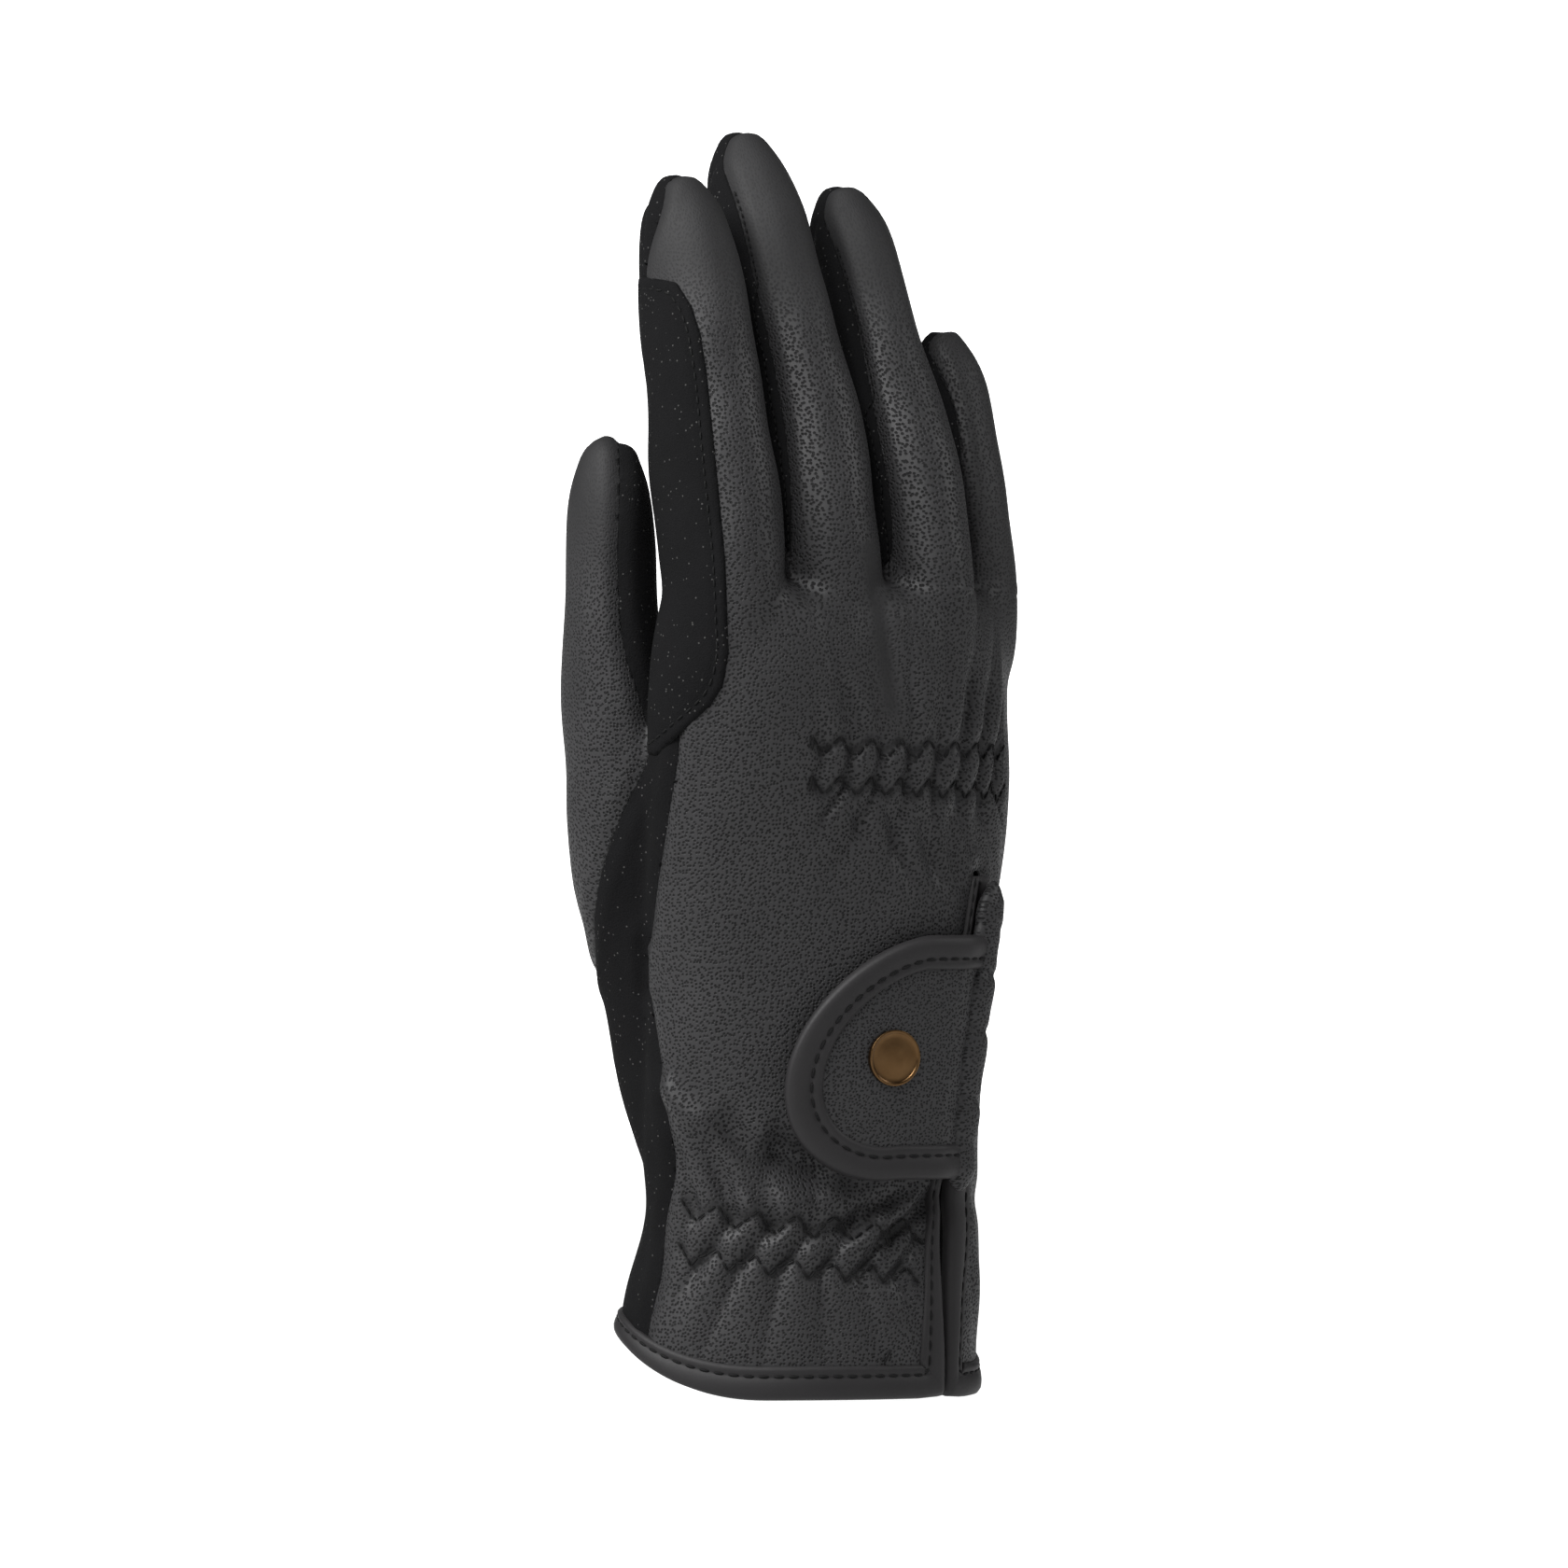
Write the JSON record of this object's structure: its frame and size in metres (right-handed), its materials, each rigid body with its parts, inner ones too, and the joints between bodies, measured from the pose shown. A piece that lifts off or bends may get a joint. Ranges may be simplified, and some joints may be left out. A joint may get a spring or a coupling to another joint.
{
  "type": "horse riding glove",
  "caption": "Right-hand riding glove, filled out, with leather back, suede palm and thumb side patch, gathered wrist and a tab closure over the cuff vent.",
  "frame": {"origin": "middle of the wrist opening, level with the lowest stretch of the hem on the back of the hand", "axes": "+Z from the wrist to the fingertips, -Y the back of the hand, -X the thumb side"},
  "size_m": [0.0917, 0.0577, 0.2454],
  "materials": {
    "leather": "black pebbled leather with a soft sheen",
    "suede": "black brushed suede, matte",
    "binding": "smooth black leather binding",
    "pad": "black hook and loop pad",
    "badge": "dark bronze with a bright raised rim"
  },
  "bodies": {
    "root": {"back_panel": "leather", "palm_panel": "suede", "fourchette_index_middle": "suede", "fourchette_middle_ring": "suede", "fourchette_ring_little": "suede", "thumb_back": "leather", "thumb_palm": "suede", "index_patch": "suede", "closure_tab": "leather", "tab_binding": "binding", "hook_pad": "pad", "badge": "badge", "vent_fold": "leather", "hem_binding": "binding"}
  },
  "joints": []
}
